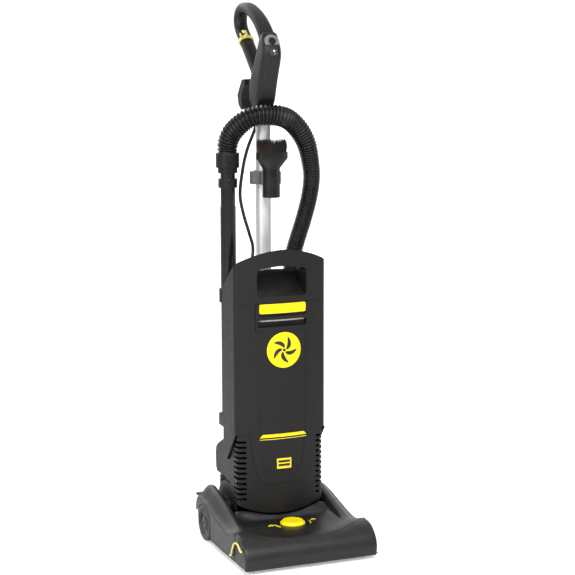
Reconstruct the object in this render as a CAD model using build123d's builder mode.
"""Upright vacuum cleaner: power head, upright body, handle, and a wand with its hose and tool.

X runs across the machine (left is -X), -Y is the front and Z is up, with the wheels standing
on z = 0. Distances "behind the front" are measured in +Y from FRONT. Lengths are millimetres.
"""
from build123d import *
import os

os.makedirs("parts", exist_ok=True)

CUT = Mode.SUBTRACT
COMMON = Mode.INTERSECT

# ---------------------------------------------------------------- driving dimensions
FRONT = -222.5               # y of the head's front edge; y = 0 is mid depth overall
HEAD_HALF = 156.0            # half width of the power head
ARM_INNER = 112.0            # x of the inner face of the rear arms
BODY_HALF = 109.0            # half width of the bag body
MOTOR_HALF = 103.0           # half width of the motor housing
BOW_RADIUS = 339.0           # plan radius of the bowed fronts
CORNER_RADIUS = 9.0          # run of the front corner rounding on wide casings
WIDE_CASING_HALF = 99.0      # casings with a greater half width get rounded corners

# centres (y, z) of axes along X
PIVOT = PIVOT_Y, PIVOT_Z = FRONT + 264, 77.0     # recline pivot and motor
BRUSH = BRUSH_Y, BRUSH_Z = FRONT + 51, 33.0
WHEEL = WHEEL_Y, WHEEL_Z = FRONT + 273, 42.0
ROLLER = ROLLER_Y, ROLLER_Z = FRONT + 112, 9.0

# centres (x, y) of vertical axes
KNOB = KNOB_X, KNOB_Y = 2.0, FRONT + 122
TUBE = TUBE_X, TUBE_Y = 0, FRONT + 291
WAND = WAND_X, WAND_Y = -85.5, FRONT + 290
TOOL = TOOL_X, TOOL_Y = 4.0, FRONT + 251
TUBE_RADIUS = 17.0
TUBE_BORE = TUBE_RADIUS + 0.02                   # bore of the pieces that fit on the tube
TUBE_BASE = 236
WAND_RADIUS = 17.5
WAND_BORE = WAND_RADIUS + 0.1                    # bore of the pieces that hold the wand


# ---------------------------------------------------------------- helpers
def save(part, name):
    part.label = name
    export_step(part, "parts/" + name + ".step")


def plane_x(x):
    """Sketch plane at x with axes (y, z); extrudes toward +X."""
    return Plane.YZ.offset(x)


def plane_y(y):
    """Sketch plane at y with axes (x, z); extrudes toward -Y, so a minus amount goes back."""
    return Plane.XZ.offset(-y)


def plane_z(z):
    """Sketch plane at z with axes (x, y); extrudes upward."""
    return Plane.XY.offset(z)


# These draw in the sketch that is open where they are called.
def disc(radius, *centres, mode=Mode.ADD):
    with Locations(*centres):
        Circle(radius, mode=mode)


def block(width, height, *centres, mode=Mode.ADD):
    with Locations(*centres):
        Rectangle(width, height, mode=mode)


def rounded(width, height, radius, *centres, mode=Mode.ADD):
    with Locations(*centres):
        RectangleRounded(width, height, radius, mode=mode)


def outline_face(*points):
    with BuildLine() as outline:
        Polyline(*points, close=True)
    make_face(outline.edges())


def side_face(*points):
    """Side profile from points (distance behind the front, z)."""
    outline_face(*[(FRONT + y, z) for y, z in points])


def arched_face(half_width, edge_z, middle_z, base_z):
    """Symmetric face with straight sides, a flat base and an arc opposite the base."""
    with BuildLine() as outline:
        ThreePointArc((-half_width, edge_z), (0, middle_z), (half_width, edge_z))
        Polyline((half_width, edge_z), (half_width, base_z),
                 (-half_width, base_z), (-half_width, edge_z))
    make_face(outline.edges())


def bow_face(front, half_width, back, mode=Mode.ADD):
    """Plan with a bowed front; front (at x = 0) and back are distances behind the front."""
    middle_y, back_y = FRONT + front, FRONT + back
    centre_y = middle_y + BOW_RADIUS
    side_y = centre_y - (BOW_RADIUS ** 2 - half_width ** 2) ** 0.5
    with BuildLine() as outline:
        if half_width > WIDE_CASING_HALF:
            arc_x = half_width - CORNER_RADIUS
            arc_y = centre_y - (BOW_RADIUS ** 2 - arc_x ** 2) ** 0.5
            end_y = side_y + CORNER_RADIUS
            # the corner arc's middle point leans 0.26 of the way along both legs
            corner_x = half_width - 0.26 * CORNER_RADIUS
            corner_y = side_y + 0.26 * (arc_y - side_y + CORNER_RADIUS)
            ThreePointArc((-arc_x, arc_y), (0, middle_y), (arc_x, arc_y))
            ThreePointArc((arc_x, arc_y), (corner_x, corner_y), (half_width, end_y))
            Polyline((half_width, end_y), (half_width, back_y),
                     (-half_width, back_y), (-half_width, end_y))
            ThreePointArc((-half_width, end_y), (-corner_x, corner_y), (-arc_x, arc_y))
        else:
            ThreePointArc((-half_width, side_y), (0, middle_y), (half_width, side_y))
            Polyline((half_width, side_y), (half_width, back_y),
                     (-half_width, back_y), (-half_width, side_y))
    make_face(outline.edges(), mode=mode)


def bow_strip(outer, inner, half_width, back):
    """Thin bowed strip in plan, open at the sides and back."""
    bow_face(outer, half_width, back)
    bow_face(inner, half_width + 1, back + 1, mode=CUT)


# These build and save a whole piece.
def save_rings(name, centre, *rings):
    """Rings along X, each (start x, length, outer radius, bore radius or 0)."""
    with BuildPart() as piece:
        for start, length, outer, bore in rings:
            with BuildSketch(plane_x(start)):
                disc(outer, centre)
                if bore:
                    disc(bore, centre, mode=CUT)
            extrude(amount=length)
    save(piece.part, name)


def save_profile(name, start_x, width, points):
    """One side profile extruded across X."""
    with BuildPart() as piece:
        with BuildSketch(plane_x(start_x)):
            side_face(*points)
        extrude(amount=width)
    save(piece.part, name)


# ================================================================ POWER HEAD
HOOD_WALL = 4                # end wall thickness
STEM_RADIUS = 8.0            # height knob stem
STEM_BORE = STEM_RADIUS + 0.05
BEARING_SEAT = 11.0          # radius of the brush bearing seats
ROLLER_SLOT = (104, 28)
BRUSH_OPENING = (276, 64)

# hood side profile, outside and inside: distance behind the front, z
HOOD_SIDE = [
    (2, 10), (1, 31), (6, 47), (15.6, 60), (27, 69), (40, 73.6), (56, 75.5),
    (73, 73.9), (87, 68), (100, 63.5), (124, 60.5), (166, 62), (166, 10)]
HOOD_SIDE_INNER = [
    (18, 9), (18, 40), (22, 56), (31, 65), (42, 69.6), (56, 71.5), (72, 70),
    (86, 64), (100, 59.5), (124, 56.5), (163, 57), (163, 9)]
# fender sections: distance behind the front, inner height, ridge height, outer height,
# outer half width
FENDER_SECTIONS = [
    (100, 60, 64, 61, 151), (160, 70, 81, 66, 151), (209, 83, 97, 76, 151),
    (262, 98, 111, 88, 151), (300, 104, 118.4, 93, 150), (330, 98, 111, 90, 146)]


def fender_points(section, side, inset):
    """Fender section (x, z) on side -1 or 1, shrunk by inset for the hollow."""
    _, inner_z, ridge_z, outer_z, outer_x = section
    inner_x = ARM_INNER + inset
    points = [
        (inner_x, 12), (inner_x, inner_z - inset), (inner_x + 4, ridge_z - 4 - inset),
        (inner_x + 9, ridge_z - inset), (inner_x + 15, ridge_z - 1 - inset),
        (outer_x - 8 - inset, (ridge_z + outer_z) / 2 + 3 - inset),
        (outer_x - 1 - inset, outer_z - inset), (outer_x - inset, outer_z - 12),
        (outer_x - inset, 12)]
    return [(side * x, z) for x, z in points]


# space under the hood, its roof lower in the middle than at the ends
with BuildPart() as hood_core:
    with BuildSketch(plane_x(-HEAD_HALF + HOOD_WALL)):
        side_face(*HOOD_SIDE_INNER)
    extrude(amount=2 * (HEAD_HALF - HOOD_WALL))
    with BuildSketch(plane_y(FRONT)):
        arched_face(HEAD_HALF, edge_z=74.5, middle_z=61.5, base_z=0)
    extrude(amount=-200, mode=COMMON)

with BuildPart() as head_hood:
    with BuildSketch(plane_x(-HEAD_HALF)):
        side_face(*HOOD_SIDE)
    extrude(amount=2 * HEAD_HALF)
    with BuildSketch(plane_y(FRONT - 10)):
        arched_face(HEAD_HALF, edge_z=78.5, middle_z=65.5, base_z=0)
    extrude(amount=-220, mode=COMMON)
    for side in (-1, 1):
        for section in FENDER_SECTIONS:
            with BuildSketch(plane_y(FRONT + section[0])):
                with BuildLine():
                    Polyline(*fender_points(section, side, inset=0), close=True)
                make_face()
        loft(ruled=True)
    add(hood_core.part, mode=CUT)
    for side in (-1, 1):
        for section in FENDER_SECTIONS:
            with BuildSketch(plane_y(FRONT + section[0])):
                with BuildLine():
                    Polyline(*fender_points(section, side, inset=2.5), close=True)
                make_face()
        loft(ruled=True, mode=CUT)
    # open underside
    with BuildSketch(Plane.XY):
        block(400, 420, (0, FRONT + 170))
    extrude(amount=14, mode=CUT)
    # wheel wells and open ends behind the wheels
    with BuildSketch(plane_x(-170)):
        disc(45.5, WHEEL)
        block(150, 68, (WHEEL_Y + 30, 34))
    extrude(amount=340, mode=CUT)
    # nose opening filled by the bumper
    with BuildSketch(plane_x(-170)):
        side_face((-5, 0), (-5, 68), (23.5, 68), (19, 50), (19, 0))
    extrude(amount=340, mode=CUT)
    # left end opening filled by the end cover
    with BuildSketch(plane_x(-HEAD_HALF - 1)):
        block(78, 56, (FRONT + 64, 34))
    extrude(amount=6, mode=CUT)
    # knob well and stem hole
    with BuildSketch(plane_z(64)):
        disc(30, KNOB)
    extrude(amount=20, mode=CUT)
    with BuildSketch(plane_z(40)):
        disc(STEM_BORE, KNOB)
    extrude(amount=40, mode=CUT)
    # pivot clearance in the inner fender walls
    with BuildSketch(plane_x(-116)):
        disc(17, PIVOT)
    extrude(amount=232, mode=CUT)
    # pedal slot in the rear of the left fender
    with BuildSketch(plane_z(66)):
        block(30, 34, (-137, FRONT + 320))
    extrude(amount=80, mode=CUT)
save(head_hood.part, "head_hood")

save_profile("front_bumper", -HEAD_HALF, 2 * HEAD_HALF, [
    (2, 9), (0, 31), (5, 47), (14.6, 59.8), (21.5, 65.6), (22.8, 65.6),
    (18.8, 50.4), (11, 42), (9, 9)])

CHASSIS_BASE, CHASSIS_FLOOR = 9, 4.9
CHASSIS_TOP = 13.9           # upper face of the floor plate
AXLE_X = 131.5               # inner face of the outer arm walls

with BuildPart() as head_chassis:
    with BuildSketch(plane_z(CHASSIS_BASE)):
        block(302, 140, (0, FRONT + 90))
        block(19.5, 166, (-124.75, FRONT + 243), (124.75, FRONT + 243))
        block(230, 70, (0, FRONT + 195))
        block(*BRUSH_OPENING, (0, BRUSH_Y), mode=CUT)
        block(*ROLLER_SLOT, (KNOB_X, ROLLER_Y), mode=CUT)
    extrude(amount=CHASSIS_FLOOR)
    # inner and outer arm walls: start x, thickness
    for start, thickness in ((-121, 6), (115, 6), (-134.5, 3), (AXLE_X, 3)):
        with BuildSketch(plane_x(start)):
            side_face((168, 13.9), (168, 52), (250, 78), (262, 92), (290, 92), (325, 70),
                      (325, 13.9))
        extrude(amount=thickness)
    # rear wall of the brush chamber and the right end wall
    with BuildSketch(plane_z(CHASSIS_TOP)):
        block(262, 3, (-13, FRONT + 92))
        block(5, 60, (148.5, FRONT + 54))
    extrude(amount=40)
    with BuildSketch(plane_x(137.5)):
        disc(15, BRUSH)
    extrude(amount=10)
    # pivot bush seats, axle holes and brush bearing seat
    for start, length, centre, radius in (
            (-140, 280, PIVOT, 15.5), (-140, 280, WHEEL, 4), (130, 20, BRUSH, BEARING_SEAT)):
        with BuildSketch(plane_x(start)):
            disc(radius, centre)
        extrude(amount=length, mode=CUT)
    # knob stem boss above the carriage, on two arms and two posts
    with BuildSketch(plane_z(44)):
        disc(14, KNOB)
        disc(STEM_BORE, KNOB, mode=CUT)
        block(42, 8, (KNOB_X - 34, KNOB_Y), (KNOB_X + 34, KNOB_Y))
    extrude(amount=8)
    with BuildSketch(plane_z(CHASSIS_TOP)):
        block(6, 24, (KNOB_X - 54, KNOB_Y + 8), (KNOB_X + 54, KNOB_Y + 8))
    extrude(amount=38.1)
    # pedal bracket
    with BuildSketch(plane_x(-131.5)):
        block(14, 12, (FRONT + 316, 78))
    extrude(amount=3)
save(head_chassis.part, "head_chassis")

SOLE_BASE, SOLE_THICKNESS = 6, 2.9
SOLE_SCREWS = [(x, FRONT + y) for y in (20, 84) for x in (-143, 143)]

with BuildPart() as sole_plate:
    with BuildSketch(plane_z(SOLE_BASE)):
        rounded(296, 98, 6, (0, FRONT + 61))
        block(*BRUSH_OPENING, (0, BRUSH_Y), mode=CUT)
        block(*ROLLER_SLOT, (KNOB_X, ROLLER_Y), mode=CUT)
        disc(2.2, *SOLE_SCREWS, mode=CUT)
    extrude(amount=SOLE_THICKNESS)
save(sole_plate.part, "sole_plate")

save_profile("rubber_lip", -138, 276, [
    (86, 5.9), (94, 5.9), (93, 3.5), (91, 2), (89.5, 2), (88, 3.5)])

LATCH_PIN = (FRONT + 84, 22)
LATCH_TIP = (FRONT + 30, 33)

with BuildPart() as end_cover:
    with BuildSketch(plane_x(-HEAD_HALF)):
        rounded(77, 55, 5, (FRONT + 64, 34))
    extrude(amount=4.5)
    with BuildSketch(plane_x(-151.5)):
        disc(15, BRUSH)
    extrude(amount=10.5)
    with BuildSketch(plane_x(-150)):
        disc(BEARING_SEAT, BRUSH)
    extrude(amount=12, mode=CUT)
    with BuildSketch(plane_x(-HEAD_HALF)):
        disc(3.05, LATCH_PIN)
    extrude(amount=5, mode=CUT)
save(end_cover.part, "end_cover")

# bail that locks the brush end cover, turning on a pin at its rear foot
with BuildPart() as brush_latch:
    with BuildSketch(plane_x(-158)):
        with BuildLine():
            Spline(LATCH_PIN, (FRONT + 77, 33), (FRONT + 71, 48), (FRONT + 58, 57),
                   (FRONT + 47, 50), (FRONT + 41, 38), LATCH_TIP)
        trace(line_width=5)
        disc(5, LATCH_PIN, LATCH_TIP)
    extrude(amount=1.9)
    with BuildSketch(plane_x(-156.5)):
        disc(3, LATCH_PIN)
    extrude(amount=4.5)
save(brush_latch.part, "brush_latch")

BRUSH_SHAFT = 5.0            # radius of the brush journals
save_rings("brush_core", BRUSH,
           (-149, 15, BRUSH_SHAFT, 0), (-134, 253, 17, 0), (119, 28, BRUSH_SHAFT, 0))

with BuildPart() as brush_bristles:
    with BuildSketch(plane_x(-132)):
        with Locations(BRUSH):
            with PolarLocations(22.55, 6, start_angle=15):
                Rectangle(10.9, 5)
    extrude(amount=249)
save(brush_bristles.part, "brush_bristles")

save_rings("brush_bearings", BRUSH,
           *[(x, 8, BEARING_SEAT - 0.02, BRUSH_SHAFT + 0.05) for x in (-149.5, 138)])

BELT_X, BELT_WIDTH, BELT_THICKNESS = 122.6, 8.0, 1.5
BELT_MOTOR_RADIUS, BELT_BRUSH_RADIUS = 8.0, 13.0         # inside radii of the belt
PULLEY_CLEARANCE = 0.05

save_rings("brush_pulley", BRUSH,
           (BELT_X, BELT_WIDTH, BELT_BRUSH_RADIUS - PULLEY_CLEARANCE, BRUSH_SHAFT),
           (BELT_X - 1.2, 1.2, BELT_BRUSH_RADIUS + 1.5, BRUSH_SHAFT))
save_rings("motor_pulley", PIVOT,
           (BELT_X, BELT_WIDTH, BELT_MOTOR_RADIUS - PULLEY_CLEARANCE, 4.0))

with BuildPart() as drive_belt:
    with BuildSketch(plane_x(BELT_X)):
        disc(BELT_MOTOR_RADIUS + BELT_THICKNESS, PIVOT)
        disc(BELT_BRUSH_RADIUS + BELT_THICKNESS, BRUSH)
        make_hull()
        with BuildSketch(mode=Mode.PRIVATE) as belt_inside:
            disc(BELT_MOTOR_RADIUS, PIVOT)
            disc(BELT_BRUSH_RADIUS, BRUSH)
            make_hull()
        add(belt_inside.sketch_local, mode=CUT)
    extrude(amount=BELT_WIDTH)
save(drive_belt.part, "drive_belt")

save_rings("pivot_bushes", PIVOT, *[(x, 6, 15.48, 13.05) for x in (-121, 115)])
save_rings("stub_axles", WHEEL, *[(x, 23.5, 3.98, 0) for x in (-155, AXLE_X)])

# half section (radius, distance from the machine's centre), built on the Y axis
WHEEL_SECTION = [
    (4.05, 136), (14, 136), (16, 140), (30, 140), (33, 136), (40, 136), (42, 138.5),
    (42, 154), (39.5, 157), (32, 158), (29, 154), (16, 154), (13, 157), (4.05, 157)]
POCKET_RADIUS = 23           # centre line of the arc pockets in the outer face

with BuildPart() as wheel:
    with BuildSketch(Plane.XY):
        outline_face(*WHEEL_SECTION)
    revolve(axis=Axis.Y, revolution_arc=360)
    with BuildSketch(plane_y(160)):
        with PolarLocations(POCKET_RADIUS, 3):
            SlotArc(CenterArc((-POCKET_RADIUS, 0), POCKET_RADIUS, -35, 70), 7)
    extrude(amount=9, mode=CUT)
# turned so the axis lies along X with the outer face away from the head
for name, turn in (("wheel_left", 90), ("wheel_right", -90)):
    turned = wheel.part.rotate(Axis.Z, turn)
    save(turned.moved(Location((0, WHEEL_Y, WHEEL_Z))), name)

KNOB_BASE, KNOB_RIM = 64.3, 4

with BuildPart() as height_knob:
    with BuildSketch(plane_z(KNOB_BASE)):
        with Locations(KNOB):
            Circle(28)
            with PolarLocations(29.5, 18):
                Circle(2.4, mode=CUT)
    extrude(amount=KNOB_RIM)
    with BuildSketch(plane_z(KNOB_BASE + KNOB_RIM)):
        disc(26, KNOB)
    extrude(amount=4.5, taper=35)
    with BuildSketch(plane_z(40)):
        disc(STEM_RADIUS, KNOB)
    extrude(amount=KNOB_BASE - 40)
save(height_knob.part, "height_knob")

with BuildPart() as roller_carriage:
    with BuildSketch(plane_z(24)):
        block(98, 22, (KNOB_X, ROLLER_Y))
    extrude(amount=6)
    with BuildSketch(plane_z(4)):
        block(4, 10, *[(KNOB_X + x, ROLLER_Y) for x in (-46.5, 46.5, -24, 24)])
    extrude(amount=20)
    with BuildSketch(plane_z(30)):
        disc(5, (KNOB_X, ROLLER_Y + 5))
    extrude(amount=8)
    with BuildSketch(plane_x(KNOB_X - 50)):
        disc(2.5, ROLLER)
    extrude(amount=100, mode=CUT)
save(roller_carriage.part, "roller_carriage")

save_rings("roller_axles", ROLLER, *[(KNOB_X + x, 26.5, 2.48, 0) for x in (-48.5, 22)])
save_rings("front_rollers", ROLLER, *[(KNOB_X + x, 17.5, 9, 2.53) for x in (-44, 26.5)])

with BuildPart() as release_pedal:
    with BuildSketch(plane_x(-149)):
        side_face((308, 84), (308, 89), (313, 95), (322, 97), (346, 93), (350, 90),
                  (348, 87), (322, 89), (322, 76), (312, 76))
    extrude(amount=24)
    # room for the bracket and the outer arm wall
    with BuildSketch(plane_x(-135.5)):
        block(24, 14, (FRONT + 316, 78))
    extrude(amount=10.5, mode=CUT)
save(release_pedal.part, "release_pedal")

DUCT_X = -83
# centre line: distance behind the front, z
DUCT_PATH = [(168, 34), (230, 33.5), (285, 36), (316, 58), (321, 95), (321, 134)]

with BuildPart() as duct_hose:
    with BuildLine():
        Spline(*[(DUCT_X, FRONT + y, z) for y, z in DUCT_PATH],
               tangents=((0, 1, 0), (0, 0, 1)))
    with BuildSketch(Plane(origin=(DUCT_X, FRONT + 168, 34), z_dir=(0, 1, 0))):
        Circle(16)
    sweep()
save(duct_hose.part, "duct_hose")

with BuildPart() as head_screws:
    with BuildSketch(plane_z(3.9)):
        disc(4, *SOLE_SCREWS)
    extrude(amount=2.1)
    with BuildSketch(plane_z(SOLE_BASE)):
        disc(2.1, *SOLE_SCREWS)
    extrude(amount=SOLE_THICKNESS)
save(head_screws.part, "head_screws")

# ================================================================ UPRIGHT BODY
BODY_BASE = 262              # z of the bottom of the bag body
BODY_FRONT = 171             # bowed front of door and cap, behind the front
DOOR_INNER = 174             # inner face of the door's front wall
DOOR_WALL = 3
CAP_BASE = 535.4
SHAFT_RADIUS = 3.98          # motor shaft

with BuildPart() as lower_housing:
    with BuildSketch(plane_z(60)):
        bow_face(174.2, MOTOR_HALF + 0.5, 246)
    extrude(amount=201.5)
    # underside arched over the head
    with BuildSketch(plane_y(FRONT + 100)):
        arched_face(104, edge_z=99.5, middle_z=76, base_z=300)
    extrude(amount=-200, mode=COMMON)
    # motor barrel, side discs and pivot trunnions: start x, end x, radius
    for start, end, radius in (
            (-66, 100.5, 60), (-103.5, -100.3, 60), (100.3, 103.5, 60), (-111, -66, 15.5),
            (103.5, 111, 26), (-111, -103.5, 26), (-121.8, -111, 13), (111, 121.8, 13)):
        with BuildSketch(plane_x(start)):
            disc(radius, PIVOT)
        extrude(amount=end - start)
    with BuildSketch(plane_z(104)):
        bow_face(177.4, MOTOR_HALF - 2.7, 260)
    extrude(amount=154, mode=CUT)
    # motor chamber and shaft hole
    for start, end, radius in ((-63, 97, 57), (-130, 130, 9)):
        with BuildSketch(plane_x(start)):
            disc(radius, PIVOT)
        extrude(amount=end - start, mode=CUT)
    # cooling louvers round both front corners
    for i in range(12):
        with BuildSketch(plane_z(110 + 12 * i)):
            block(26, 50, (-97, FRONT + 190), (97, FRONT + 190))
        extrude(amount=5.5, mode=CUT)
save(lower_housing.part, "lower_housing")

with BuildPart() as motor_body:
    # start x, end x, radius; the last two are the flanges that seat in the barrel
    for start, end, radius in ((-48, -40, 40), (-40, 70, 51), (70, 78, 40),
                               (-36, -26, 56.95), (52, 62, 56.95)):
        with BuildSketch(plane_x(start)):
            disc(radius, PIVOT)
        extrude(amount=end - start)
    with BuildSketch(plane_x(-60)):
        with Locations(PIVOT):
            Circle(4.05)
            with PolarLocations(30, 8):
                Circle(5)
    extrude(amount=160, mode=CUT)
save(motor_body.part, "motor_body")

save_rings("motor_shaft", PIVOT, (-61, 61 + BELT_X + BELT_WIDTH, SHAFT_RADIUS, 0))

with BuildPart() as cooling_fan:
    with BuildSketch(plane_x(-60)):
        with Locations(PIVOT):
            Circle(14)
            with PolarLocations(27, 9):
                Rectangle(34, 3, rotation=18)
            Circle(4, mode=CUT)
    extrude(amount=7)
    with BuildSketch(plane_x(-60)):
        disc(45, PIVOT)
        disc(4, PIVOT, mode=CUT)
    extrude(amount=1.5)
save(cooling_fan.part, "cooling_fan")

with BuildPart() as rear_housing:
    with BuildSketch(plane_z(BODY_BASE)):
        block(2 * BODY_HALF, 45, (0, FRONT + 245.5))
        bow_face(176, 105, 240)
    extrude(amount=273)
    # narrower box behind the motor housing
    with BuildSketch(plane_z(140)):
        block(206, 23.8, (0, FRONT + 258.1))
    extrude(amount=BODY_BASE - 140)
    # bag chamber, then the hollow of the lower box
    with BuildSketch(plane_z(266)):
        block(212, 100, (0, FRONT + 215))
    extrude(amount=263, mode=CUT)
    with BuildSketch(plane_z(143)):
        block(200, 32, (0, FRONT + 251))
    extrude(amount=116, mode=CUT)
    # clearance for the door's latch boss
    with BuildSketch(plane_z(500)):
        block(132, 30, (0, FRONT + 180))
    extrude(amount=60, mode=CUT)
    # side skirts that overlap the motor housing down to the slanting seam
    for start in (-BODY_HALF, 103.6):
        with BuildSketch(plane_x(start)):
            side_face((223, 263), (223, 221), (246.2, 194), (268, 188), (268, 263))
        extrude(amount=5.4)
    # tube spine
    with BuildSketch(plane_z(232)):
        rounded(54, 48, 10, (0, FRONT + 290))
    extrude(amount=303)
    with BuildSketch(plane_z(TUBE_BASE)):
        disc(TUBE_BORE, TUBE)
    extrude(amount=400, mode=CUT)
save(rear_housing.part, "rear_housing")

EXHAUST_HALF = 98            # half width of the exhaust housing and its cover

with BuildPart() as exhaust_housing:
    with BuildSketch(plane_x(-EXHAUST_HALF)):
        side_face((270.2, 140), (270.2, 229), (300, 227), (336, 209), (336, 140))
    extrude(amount=2 * EXHAUST_HALF)
    with BuildSketch(plane_x(-95)):
        side_face((273, 143), (273, 225), (299, 223.5), (337, 204), (337, 143))
    extrude(amount=190, mode=CUT)
    # slots in the sloping top, left and right
    for i in range(3):
        with BuildSketch(plane_z(196)):
            block(56, 4, (-62, FRONT + 307 + 9 * i), (62, FRONT + 307 + 9 * i))
        extrude(amount=40, mode=CUT)
    # round hole in the floor above the duct hose
    with BuildSketch(plane_z(139)):
        disc(11, (-80, FRONT + 318))
    extrude(amount=5, mode=CUT)
save(exhaust_housing.part, "exhaust_housing")

with BuildPart() as exhaust_cover:
    with BuildSketch(plane_x(-EXHAUST_HALF)):
        side_face((336.2, 140), (336.2, 208.8), (350, 198), (354, 184), (352, 150), (346, 140))
    extrude(amount=2 * EXHAUST_HALF)
    # rear louvers
    for i in range(9):
        with BuildSketch(plane_z(148 + 5.4 * i)):
            block(150, 16, (0, FRONT + 352))
        extrude(amount=2.4, mode=CUT)
save(exhaust_cover.part, "exhaust_cover")

with BuildPart() as exhaust_filter:
    with BuildSketch(plane_z(146)):
        with Locations((0, FRONT + 318)):
            Rectangle(120, 30)
            with GridLocations(8, 30, 15, 2):
                Rectangle(4, 6, mode=CUT)
    extrude(amount=52)
save(exhaust_filter.part, "exhaust_filter")

DOOR_HEIGHT = 296
DOOR_BACK = 222.6            # rear edge of the door sides, behind the front

with BuildPart() as door_shell:
    with BuildSketch(plane_z(BODY_BASE)):
        bow_face(BODY_FRONT, BODY_HALF, DOOR_BACK)
        bow_face(DOOR_INNER, BODY_HALF - DOOR_WALL, 230)
    extrude(amount=DOOR_HEIGHT)
    with BuildSketch(plane_z(BODY_BASE)):
        bow_face(DOOR_INNER, BODY_HALF - DOOR_WALL, 230)
    extrude(amount=DOOR_HEIGHT, mode=CUT)
    # side skirts that reach down to the slanting seam
    for start in (-BODY_HALF, BODY_HALF - DOOR_WALL):
        with BuildSketch(plane_x(start)):
            side_face((189.5, 263), (189.5, 261.5), (DOOR_BACK, 221.8), (DOOR_BACK, 263))
        extrude(amount=DOOR_WALL)
    # latch boss behind the front wall
    with BuildSketch(plane_z(498)):
        block(128, 15, (0, FRONT + 180.5))
    extrude(amount=60)
    # slanting upper rear corner that meets the top cap
    with BuildSketch(plane_x(-120)):
        side_face((189, 558.1), (223.2, 535), (240, 535), (240, 600), (189, 600))
    extrude(amount=240, mode=CUT)
    # latch recess and the finger recess below it
    with BuildSketch(plane_y(FRONT + 160)):
        rounded(112.6, 30, 5, (0, 545))
    extrude(amount=-17.5, mode=CUT)
    with BuildSketch(plane_y(FRONT + 160)):
        rounded(117, 17, 5, (-1.5, 514.5))
    extrude(amount=-24, mode=CUT)

# tapering tongue below the door, and the shallow groove round the centre panel: x, z
TONGUE = [
    (-80, 271), (-73, 229), (-65, 189), (-60, 170), (-54, 158), (-46, 150), (-36, 147),
    (34, 147), (45, 149), (53, 156), (58.5, 170), (63, 189), (70, 222), (78, 271)]
GROOVE = [
    (-57.5, 497), (-57.5, 300), (-52, 223), (-43, 188), (-38, 178), (-31, 173.5),
    (31, 173.5), (38, 178), (43, 188), (51, 223), (56.5, 300), (56.5, 497)]
GROOVE_DEPTH = 0.9

with BuildPart() as door_groove:
    with BuildSketch(plane_y(FRONT + 160)):
        with BuildLine():
            Polyline(*GROOVE)
        trace(line_width=1.6)
    extrude(amount=-40)
    with BuildSketch(plane_z(150)):
        bow_face(BODY_FRONT + GROOVE_DEPTH, 98, 230)
    extrude(amount=400, mode=CUT)

with BuildPart() as bag_door:
    with BuildSketch(plane_z(140)):
        bow_strip(BODY_FRONT, DOOR_INNER, half_width=90, back=200)
    extrude(amount=131)
    with BuildSketch(plane_y(FRONT + 150)):
        outline_face(*TONGUE)
    extrude(amount=-60, mode=COMMON)
    add(door_shell.part)
    add(door_groove.part, mode=CUT)
save(bag_door.part, "bag_door")

with BuildPart() as door_seal:
    with BuildSketch(plane_y(FRONT + 223.2)):
        block(211, 262, (0, 397.5))
        block(200, 251, (0, 397.5), mode=CUT)
    extrude(amount=3)
save(door_seal.part, "door_seal")

with BuildPart() as door_latch:
    with BuildSketch(plane_z(536.6)):
        bow_face(168.8, 55.5, 176)
    extrude(amount=21.6)
    fillet(door_latch.edges().filter_by(Axis.Y), 4)
    fillet(door_latch.faces().sort_by(Axis.Y)[0].edges(), 1.5)
save(door_latch.part, "door_latch")

BADGE_BACK = 170.95          # back of the emblem and label, just off the door

with BuildPart() as emblem_disc:
    with BuildSketch(plane_z(400)):
        bow_strip(169.9, BADGE_BACK, half_width=60, back=190)
    extrude(amount=110)
    with BuildSketch(plane_y(FRONT + 150)):
        disc(40.5, (2, 452.8))
    extrude(amount=-60, mode=COMMON)
save(emblem_disc.part, "emblem_disc")

with BuildPart() as info_label:
    with BuildSketch(plane_z(170)):
        bow_strip(170.4, BADGE_BACK, half_width=40, back=190)
    extrude(amount=50)
    with BuildSketch(plane_y(FRONT + 150)):
        rounded(35, 24, 1.5, (1.5, 192))
    extrude(amount=-60, mode=COMMON)
save(info_label.part, "info_label")

# top cap: bowed plan, arched top that falls away to the rear
CAP_BACK = 268
ARCH_HALF, ARCH_BASE = 112, 380      # half width and base z of the lofted arches

with BuildPart() as cap_envelope:
    # distance behind the front, z at the edge, shoulder and middle
    for y, edge_z, shoulder_z, middle_z in ((BODY_FRONT, 663, 673.5, 679),
                                            (CAP_BACK, 586, 599, 604)):
        with BuildSketch(plane_y(FRONT + y)):
            with BuildLine():
                ThreePointArc((-ARCH_HALF, edge_z), (-60, shoulder_z), (0, middle_z))
                ThreePointArc((0, middle_z), (60, shoulder_z), (ARCH_HALF, edge_z))
                Polyline((ARCH_HALF, edge_z), (ARCH_HALF, ARCH_BASE),
                         (-ARCH_HALF, ARCH_BASE), (-ARCH_HALF, edge_z))
            make_face()
    loft(ruled=True)

with BuildPart() as cap_envelope_inner:
    for y, edge_z, middle_z in ((BODY_FRONT, 659, 674.5), (CAP_BACK, 581.5, 599.5)):
        with BuildSketch(plane_y(FRONT + y)):
            with BuildLine():
                ThreePointArc((-ARCH_HALF, edge_z), (0, middle_z), (ARCH_HALF, edge_z))
                Polyline((ARCH_HALF, edge_z), (ARCH_HALF, ARCH_BASE),
                         (-ARCH_HALF, ARCH_BASE), (-ARCH_HALF, edge_z))
            make_face()
    loft(ruled=True)

with BuildPart() as cap_void:
    with BuildSketch(plane_z(530)):
        bow_face(174.2, BODY_HALF - 3.2, 264.8)
    extrude(amount=170)
    add(cap_envelope_inner.part, mode=COMMON)
    # leaves the walls of the handle pocket
    with BuildSketch(plane_y(FRONT + 160)):
        rounded(124, 78, 12, (-1, 610))
    extrude(amount=-120, mode=CUT)

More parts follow.
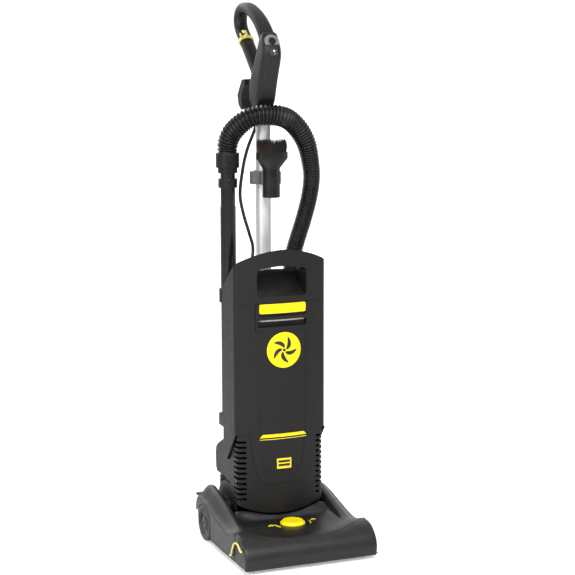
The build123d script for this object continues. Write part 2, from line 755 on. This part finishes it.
# handle pocket: curved floor, rounded corners and an arched upper edge
with BuildPart() as pocket:
    with BuildSketch(plane_x(-64)):
        with BuildLine():
            Line((FRONT + 160, 574), (FRONT + 176, 574))
            Spline((FRONT + 176, 574), (FRONT + 205, 580), (FRONT + 228, 598),
                   (FRONT + 240, 625))
            Polyline((FRONT + 240, 625), (FRONT + 240, 650), (FRONT + 160, 650),
                     (FRONT + 160, 574))
        make_face()
    extrude(amount=126)
    with BuildSketch(plane_y(FRONT + 150)) as mouth:
        with BuildLine() as mouth_line:
            ThreePointArc((-60, 634), (-1, 642), (58, 634))
            Polyline((58, 634), (58, 571.5), (-60, 571.5), (-60, 634))
        make_face(mouth_line.edges())
        fillet(mouth.vertices(), 11)
    extrude(amount=-110, mode=COMMON)

with BuildPart() as top_cap:
    with BuildSketch(plane_z(CAP_BASE)):
        bow_face(BODY_FRONT, BODY_HALF, CAP_BACK)
    extrude(amount=170)
    add(cap_envelope.part, mode=COMMON)
    # slanting front seam over the door
    with BuildSketch(plane_x(-120)):
        side_face((160, 500), (160, 558.5), (189, 558.5), (223.4, CAP_BASE), (223.4, 500))
    extrude(amount=240, mode=CUT)
    add(cap_void.part, mode=CUT)
    add(pocket.part, mode=CUT)
save(top_cap.part, "top_cap")

with BuildPart() as filter_bag:
    with BuildSketch(plane_z(285)):
        rounded(186, 58, 20, (0, FRONT + 227))
    extrude(amount=200)
save(filter_bag.part, "filter_bag")

with BuildPart() as bag_dock:
    with BuildSketch(plane_z(490)):
        rounded(80, 60, 8, (0, FRONT + 232))
        disc(18, (0, FRONT + 232), mode=CUT)
    extrude(amount=32)
save(bag_dock.part, "bag_dock")

PORT = (68, FRONT + 291)     # axis of the hose port, x and y

with BuildPart() as hose_port:
    with BuildSketch(plane_z(480)):
        rounded(46, 45.6, 8, (66, FRONT + 291))
    extrude(amount=90)
    with BuildSketch(plane_z(570)):
        disc(22, PORT)
    extrude(amount=29)
    with BuildSketch(plane_z(500)):
        disc(15, PORT)
    extrude(amount=120, mode=CUT)
save(hose_port.part, "hose_port")

with BuildPart() as wand_socket:
    with BuildSketch(plane_z(262.5)):
        rounded(43, 43.4, 10, WAND)
        block(40, 4.6, (WAND_X + 20, FRONT + 270.5))
    extrude(amount=26)
    with BuildSketch(plane_z(268)):
        disc(WAND_BORE, WAND)
    extrude(amount=40, mode=CUT)
save(wand_socket.part, "wand_socket")

# clip open to the rear
with BuildPart() as wand_clip:
    with BuildSketch(plane_z(549)):
        disc(21.8, WAND)
        block(34, 11.6, (WAND_X, FRONT + 274))
        disc(WAND_BORE, WAND, mode=CUT)
        block(22, 20, (WAND_X, WAND_Y + 20), mode=CUT)
    extrude(amount=30)
save(wand_clip.part, "wand_clip")

save_profile("cord_hook_lower", -12, 24, [
    (314.2, 300), (350, 296), (362, 280), (366, 262), (372, 264), (370, 286),
    (356, 306), (314.2, 316)])

# ================================================================ HANDLE
with BuildPart() as handle_tube:
    with BuildSketch(plane_z(TUBE_BASE)):
        disc(TUBE_RADIUS, TUBE)
        disc(TUBE_RADIUS - 1.5, TUBE, mode=CUT)
    extrude(amount=1030 - TUBE_BASE)
save(handle_tube.part, "handle_tube")

# grip body profile and centre line of the grip loop: distance behind the front, z
GRIP_BODY = [
    (261, 1004), (224, 1101), (226, 1118), (243, 1147), (262, 1146), (283, 1098),
    (318, 1058), (327, 1044), (327, 1000), (311, 1000), (311, 990), (272, 990)]
GRIP_LOOP = [
    (250, 1122), (263, 1141), (283, 1161), (310, 1180), (344, 1196), (380, 1206),
    (411, 1205), (429, 1193), (433, 1178), (427, 1161), (408, 1142), (380, 1119),
    (350, 1092), (322, 1066), (304, 1046)]
GRIP_HALF = 23
SWITCH_PLANE = Plane(origin=(0, FRONT + 234.5, 1132.5), x_dir=(1, 0, 0),
                     z_dir=(0, -0.863, 0.505))
LENS_PLANE = Plane(origin=(1, FRONT + 225, 1109.5), x_dir=(1, 0, 0),
                   z_dir=(0, -0.993, 0.117))
HOOK_PEG = (0, 1038.0)       # x, z of the upper cord hook's peg

with BuildPart() as grip_solid:
    with BuildLine():
        loop_path = Spline(*[(0, FRONT + y, z) for y, z in GRIP_LOOP])
    with BuildSketch(Plane(origin=loop_path @ 0, x_dir=(1, 0, 0), z_dir=loop_path % 0)):
        Ellipse(15, 12)
    sweep()
    with BuildSketch(plane_x(-GRIP_HALF)):
        side_face(*GRIP_BODY)
    extrude(amount=2 * GRIP_HALF)
    # sockets for the tube, the switch and the cord hook
    with BuildSketch(plane_z(980)):
        disc(TUBE_BORE, TUBE)
    extrude(amount=50.1, mode=CUT)
    with BuildSketch(SWITCH_PLANE.offset(-16)):
        Circle(8.1)
    extrude(amount=40, mode=CUT)
    with BuildSketch(plane_y(FRONT + 300)):
        disc(5.05, HOOK_PEG)
    extrude(amount=-60, mode=CUT)

for name, kept_side in (("grip_left", Keep.BOTTOM), ("grip_right", Keep.TOP)):
    with BuildPart() as grip_half:
        add(grip_solid.part)
        split(bisect_by=Plane.YZ, keep=kept_side)
    save(grip_half.part, name)

with BuildPart() as switch_plate:
    with BuildSketch(SWITCH_PLANE.offset(0.05)):
        Circle(17)
        block(40, 16, (0, -16), mode=CUT)
        Circle(8.2, mode=CUT)
    extrude(amount=1.6)
save(switch_plate.part, "switch_plate")

with BuildPart() as power_switch:
    with BuildSketch(SWITCH_PLANE.offset(-9)):
        Circle(8)
    extrude(amount=14)
save(power_switch.part, "power_switch")

with BuildPart() as indicator_lens:
    with BuildSketch(LENS_PLANE.offset(0.05)):
        RectangleRounded(17, 14, 2)
    extrude(amount=1.4)
save(indicator_lens.part, "indicator_lens")

with BuildPart() as cord_hook_upper:
    with BuildSketch(plane_y(FRONT + 301)):
        disc(5, HOOK_PEG)
    extrude(amount=-80)
    with BuildSketch(plane_x(-13)):
        side_face((374, 1046), (392, 1044), (404, 1030), (422, 1008), (414, 986),
                  (398, 975), (390, 979), (396, 1000), (388, 1018), (374, 1032))
    extrude(amount=26)
save(cord_hook_upper.part, "cord_hook_upper")

CLIP_PLANE = Plane(origin=(0, FRONT + 395, 1131.4), x_dir=(1, 0, 0), z_dir=(0, 0.77, 0.638))
CLIP_EYE = (-11, -20.5)      # centre of the small open ring beside the band

with BuildPart() as cord_clip:
    with BuildSketch(CLIP_PLANE.offset(-4)):
        Ellipse(18.2, 15.2)
        Ellipse(15.7, 12.7, mode=CUT)
        disc(9, CLIP_EYE)
        disc(6.2, CLIP_EYE, mode=CUT)
        block(14, 7, (-22, -24), mode=CUT)
    extrude(amount=8)
save(cord_clip.part, "cord_clip")

CORD_EXIT = (-6, FRONT + 319)        # x, y where the cord leaves the grip

with BuildPart() as strain_relief:
    with BuildSketch(plane_z(970)):
        disc(5.6, CORD_EXIT)
        disc(3.75, CORD_EXIT, mode=CUT)
    extrude(amount=29.8)
save(strain_relief.part, "strain_relief")

# centre line: x, distance behind the front, z
CORD_PATH = [
    (-6, 319, 999), (-6, 319, 965), (-8, 319, 939), (-28, 318, 890), (-39, 318, 846),
    (-46, 318, 789), (-38, 318, 743), (-24, 318, 697), (-16, 317, 660), (-30, 303, 600),
    (-44, 280, 548), (-45, 276, 480)]

with BuildPart() as power_cord:
    with BuildLine():
        cord_path = Spline(*[(x, FRONT + y, z) for x, y, z in CORD_PATH])
    with BuildSketch(Plane(origin=cord_path @ 0, z_dir=cord_path % 0)):
        Circle(3.7)
    sweep()
save(power_cord.part, "power_cord")

# ================================================================ WAND, HOSE AND TOOL
with BuildPart() as wand:
    # tube, reduced upper end and collar: bottom z, top z, radius
    for bottom, top, radius in ((268.5, 766, WAND_RADIUS), (766, 853.5, 16.5),
                                (809, 829, 21.5)):
        with BuildSketch(plane_z(bottom)):
            disc(radius, WAND)
        extrude(amount=top - bottom)
    with BuildSketch(plane_z(200)):
        disc(14.5, WAND)
    extrude(amount=700, mode=CUT)
save(wand.part, "wand")

with BuildPart() as hose_cuff:
    # bottom z, height, outer radius, bore radius
    for bottom, height, outer, bore in ((842, 12, 22, 16.58), (854, 33, 26.5, 15)):
        with BuildSketch(plane_z(bottom)):
            disc(outer, WAND)
            disc(bore, WAND, mode=CUT)
        extrude(amount=height)
    fillet(hose_cuff.edges().group_by(Axis.Z)[-1], 2)
save(hose_cuff.part, "hose_cuff")

# centre line from the cuff to the port: x, distance behind the front, z
HOSE_PATH = [
    (WAND_X, 290, 887.5), (WAND_X, 289, 905), (-80, 281, 928), (-67, 267, 948),
    (-50, 256, 962), (-27, 249, 970), (-3, 247, 971), (25, 248, 968), (52, 257, 957),
    (78, 264, 933), (98, 270, 900), (110, 276, 856), (114, 280, 820), (109, 284, 776),
    (96, 287, 726), (80, 290, 675), (70.5, 291, 638), (68, 291, 600)]

with BuildPart() as suction_hose:
    with BuildLine():
        hose_path = Spline(*[(x, FRONT + y, z) for x, y, z in HOSE_PATH],
                           tangents=((0, 0, 1), (0, 0, -1)))
    with BuildSketch(Plane(origin=hose_path @ 0, x_dir=(1, 0, 0), z_dir=hose_path % 0)):
        Circle(21)
    sweep()
save(suction_hose.part, "suction_hose")

NECK_RADIUS = 19.5           # dusting brush neck
BRUSH_HEAD = (TOOL_X + 2, TOOL_Y)    # centre of the oval head

with BuildPart() as dusting_brush:
    with BuildSketch(plane_z(787)):
        disc(NECK_RADIUS, TOOL)
    extrude(amount=65)
    with BuildSketch(plane_z(852)):
        disc(NECK_RADIUS, TOOL)
    with BuildSketch(plane_z(874)):
        with Locations(BRUSH_HEAD):
            Ellipse(37, 21)
    loft()
    with BuildSketch(plane_z(874)):
        with Locations(BRUSH_HEAD):
            Ellipse(37, 21)
    extrude(amount=14)
    with BuildSketch(plane_z(780)):
        disc(15, TOOL)
    extrude(amount=120, mode=CUT)
save(dusting_brush.part, "dusting_brush")

with BuildPart() as dusting_bristles:
    with BuildSketch(plane_z(888.1)):
        with Locations(BRUSH_HEAD):
            Ellipse(36, 20)
            Ellipse(26, 13, mode=CUT)
    extrude(amount=17)
save(dusting_bristles.part, "dusting_bristles")

# clip on the handle tube, open to the front for the dusting brush
with BuildPart() as tool_clip:
    with BuildSketch(plane_z(816)):
        disc(22, TUBE)
        disc(23.5, TOOL)
        rounded(22, 24, 4, (-25, FRONT + 274))
        block(80, 50, (TOOL_X, TOOL_Y - 25), mode=CUT)
        disc(TUBE_BORE, TUBE, mode=CUT)
        disc(NECK_RADIUS + 0.1, TOOL, mode=CUT)
    extrude(amount=28)
save(tool_clip.part, "tool_clip")
